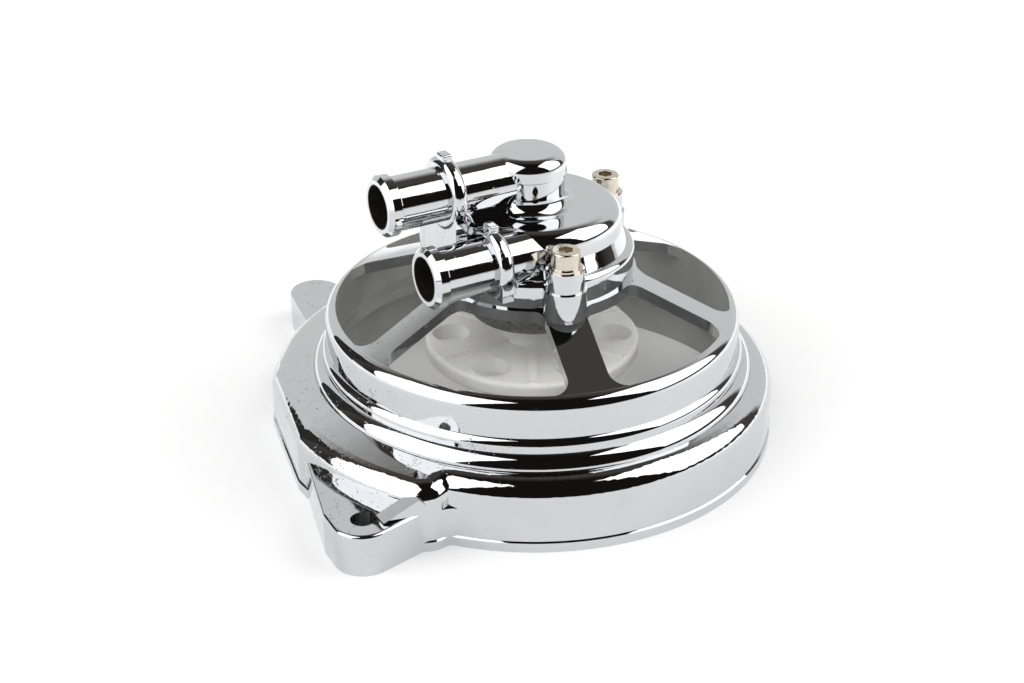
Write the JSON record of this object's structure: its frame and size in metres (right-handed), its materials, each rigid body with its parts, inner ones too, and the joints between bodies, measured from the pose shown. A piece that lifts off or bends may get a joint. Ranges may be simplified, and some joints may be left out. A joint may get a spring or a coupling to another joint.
{
  "type": "flywheel cover with coolant pump",
  "caption": "Chromed flywheel cover for a small engine, with spoked windows, a coolant pump, two hose nipples and a nylon drive disc.",
  "frame": {"origin": "on the pump axis in the plane of the mounting face", "axes": "+Z along the pump axis from the mounting face up through the pump, -X the way both hose nipples point"},
  "size_m": [0.1622, 0.1744, 0.0955],
  "materials": {
    "chromed_casting": "bright decorative chrome on a die casting, with small pits",
    "raw_casting": "raw sand-textured cast aluminium",
    "nickel_steel": "nickel-plated steel with a warm tint",
    "ground_steel": "ground steel",
    "pressed_steel": "pressed sheet steel",
    "spring_steel": "spring steel, phosphated",
    "rubber": "black nitrile rubber",
    "black_plastic": "glass-filled nylon",
    "white_nylon": "natural white nylon, slightly translucent",
    "carbon": "lapped carbon",
    "ceramic": "white ceramic"
  },
  "bodies": {
    "housing": {"cover_skirt": "chromed_casting", "cover_rings": "chromed_casting", "cover_spider": "chromed_casting", "pump_cover": "chromed_casting", "bearing_carrier": "raw_casting", "pump_cover_screws": "nickel_steel", "pump_cover_washers": "nickel_steel", "pump_cover_o_ring": "rubber", "seal_cup": "pressed_steel", "seal_spring": "spring_steel", "seal_carbon_ring": "carbon", "oil_seal": "rubber", "bearing_circlip": "spring_steel", "lower_bearing_outer_ring": "ground_steel", "upper_bearing_outer_ring": "ground_steel"},
    "rotor": {"pump_shaft": "ground_steel", "impeller": "black_plastic", "seal_ceramic_ring": "ceramic", "upper_bearing_inner_ring": "ground_steel", "lower_bearing_inner_ring": "ground_steel", "shaft_spacer": "ground_steel", "drive_pin": "ground_steel", "drive_disc": "white_nylon", "disc_washer": "nickel_steel", "disc_nut": "nickel_steel"},
    "upper_cage": {"upper_bearing_balls": "ground_steel", "upper_bearing_cage": "pressed_steel"},
    "lower_cage": {"lower_bearing_balls": "ground_steel", "lower_bearing_cage": "pressed_steel"}
  },
  "joints": [
    {"name": "pump_spin", "type": "hinge", "parent": "housing", "child": "rotor", "pos_m": [0, 0, 0.0474], "axis": [0, 0, 1], "continuous": true},
    {"name": "upper_cage_spin", "type": "hinge", "parent": "housing", "child": "upper_cage", "pos_m": [0, 0, 0.0504], "axis": [0, 0, 1], "continuous": true},
    {"name": "lower_cage_spin", "type": "hinge", "parent": "housing", "child": "lower_cage", "pos_m": [0, 0, 0.0444], "axis": [0, 0, 1], "continuous": true}
  ],
  "couplings": [
    {"joint": "upper_cage_spin", "follows": "pump_spin", "ratio": 0.3852},
    {"joint": "lower_cage_spin", "follows": "pump_spin", "ratio": 0.3852}
  ]
}
